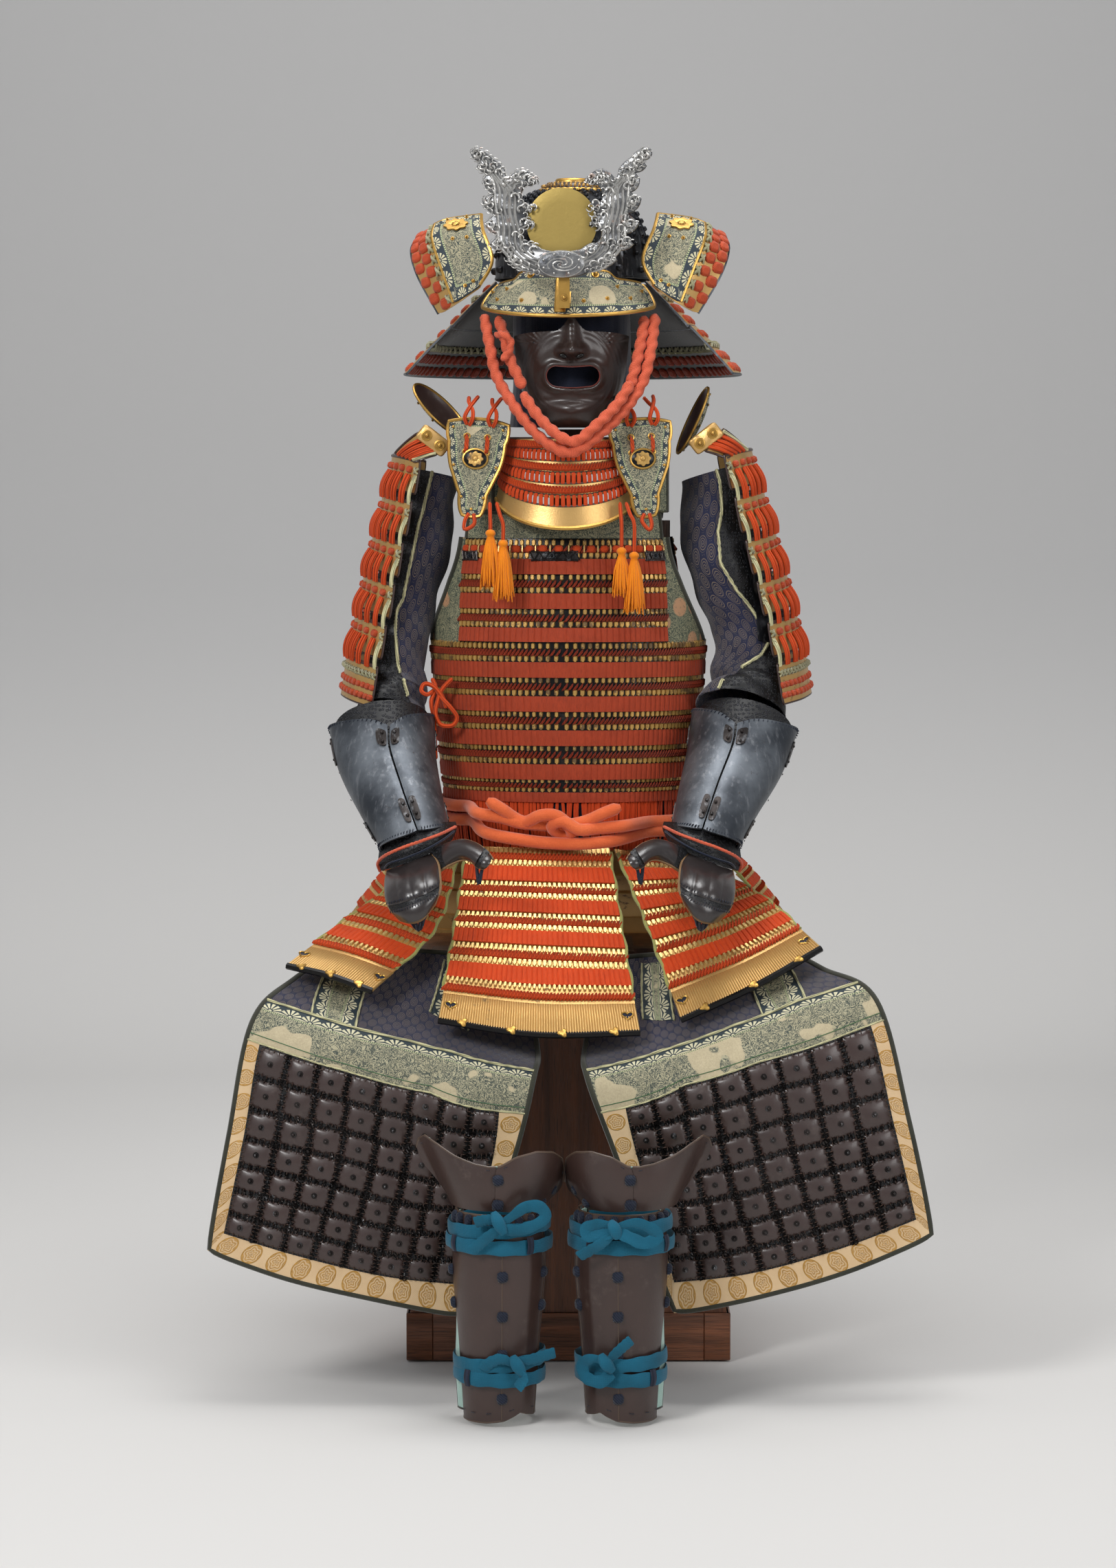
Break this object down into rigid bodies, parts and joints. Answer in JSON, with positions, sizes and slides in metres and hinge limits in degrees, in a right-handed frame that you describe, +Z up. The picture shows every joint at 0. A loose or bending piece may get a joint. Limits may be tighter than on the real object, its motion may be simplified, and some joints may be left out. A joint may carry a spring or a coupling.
{
  "type": "samurai armour seated on an armour box with a stand",
  "caption": "Laced samurai armour with crested helmet, face mask, sleeves, skirts, thigh and shin guards, seated on its wooden armour box",
  "frame": {"origin": "middle of the underside of the armour box, on the floor", "axes": "+Z up, the armour faces -Y, +X to the viewer's right"},
  "size_m": [0.948, 0.9036, 1.645],
  "materials": {
    "box_wood": "brown grained wood, satin",
    "stand_wood": "plain wood",
    "dark_cloth": "dark blue-black folded cloth",
    "printed_leather": "stencilled leather, navy and cream, gilt rim",
    "laced_lames": "gilt scale heads under close red silk lacing",
    "gilt_lames": "gold lacquer with orange lacing",
    "gilt_copper": "gilt copper, satin",
    "black_iron": "black lacquered iron",
    "silvered_copper": "silvered, chased",
    "brass_disc": "matt",
    "russet_iron": "dark russet lacquer, semi-gloss",
    "coral_cord": "twisted silk",
    "crepe_sash": "crinkled silk crepe",
    "amber_silk": "silk tassel",
    "brocade_sleeve": "navy brocade, mail and green piping",
    "grey_iron": "bluish grey patina, satin",
    "brown_iron": "brown-black lacquer",
    "laced_skirt": "gold lacquer lames under orange lacing",
    "thigh_cloth": "lacquered plates and mail on cloth, cream silk border",
    "brown_lacquer": "brown lacquer, gloss",
    "knee_cloth": "padded cloth sewn with small plates",
    "teal_ties": "woven cloth"
  },
  "bodies": {
    "armour": {"armhole_left": "printed_leather", "armhole_right": "printed_leather", "back_lames": "laced_lames", "body_lames": "laced_lames", "box_body": "box_wood", "box_lid": "box_wood", "chest_lames": "laced_lames", "chest_panel": "printed_leather", "chin_cord": "coral_cord", "crest_bracket": "gilt_copper", "forearm_left": "grey_iron", "forearm_right": "grey_iron", "hand_guard_left": "brown_iron", "hand_guard_right": "brown_iron", "head_form": "dark_cloth", "helmet_bowl": "black_iron", "helmet_crown": "gilt_copper", "helmet_visor": "printed_leather", "knee_plate_left": "knee_cloth", "knee_plate_right": "knee_cloth", "leaf_plate_left": "printed_leather", "leaf_plate_right": "printed_leather", "leg_tie_lower_left": "teal_ties", "leg_tie_lower_right": "teal_ties", "leg_tie_upper_left": "teal_ties", "leg_tie_upper_right": "teal_ties", "mask": "russet_iron", "neck_guard_lower": "gilt_lames", "neck_guard_upper": "gilt_lames", "shin_guard_left": "brown_lacquer", "shin_guard_right": "brown_lacquer", "shoulder_block_left": "gilt_copper", "shoulder_block_right": "gilt_copper", "shoulder_guard_left": "gilt_lames", "shoulder_guard_right": "gilt_lames", "shoulder_wing_left": "gilt_copper", "shoulder_wing_right": "gilt_copper", "side_bow": "coral_cord", "skirt_back_left": "laced_skirt", "skirt_back_right": "laced_skirt", "skirt_front": "laced_skirt", "skirt_left": "laced_skirt", "skirt_right": "laced_skirt", "skirt_side_left": "laced_skirt", "skirt_side_right": "laced_skirt", "sleeve_left": "brocade_sleeve", "sleeve_right": "brocade_sleeve", "stand": "stand_wood", "strap_left": "printed_leather", "strap_right": "printed_leather", "tassel_left": "amber_silk", "tassel_right": "amber_silk", "thigh_guard_left": "thigh_cloth", "thigh_guard_right": "thigh_cloth", "throat_lames": "laced_lames", "turnback_left": "printed_leather", "turnback_right": "printed_leather", "waist_sash": "crepe_sash"},
    "crest": {"crest_horns": "silvered_copper", "crest_disc": "brass_disc"}
  },
  "joints": [
    {"name": "crest_slide", "type": "slide", "parent": "armour", "child": "crest", "axis": [0, 0, 1], "range_m": [0, 0.06]}
  ]
}
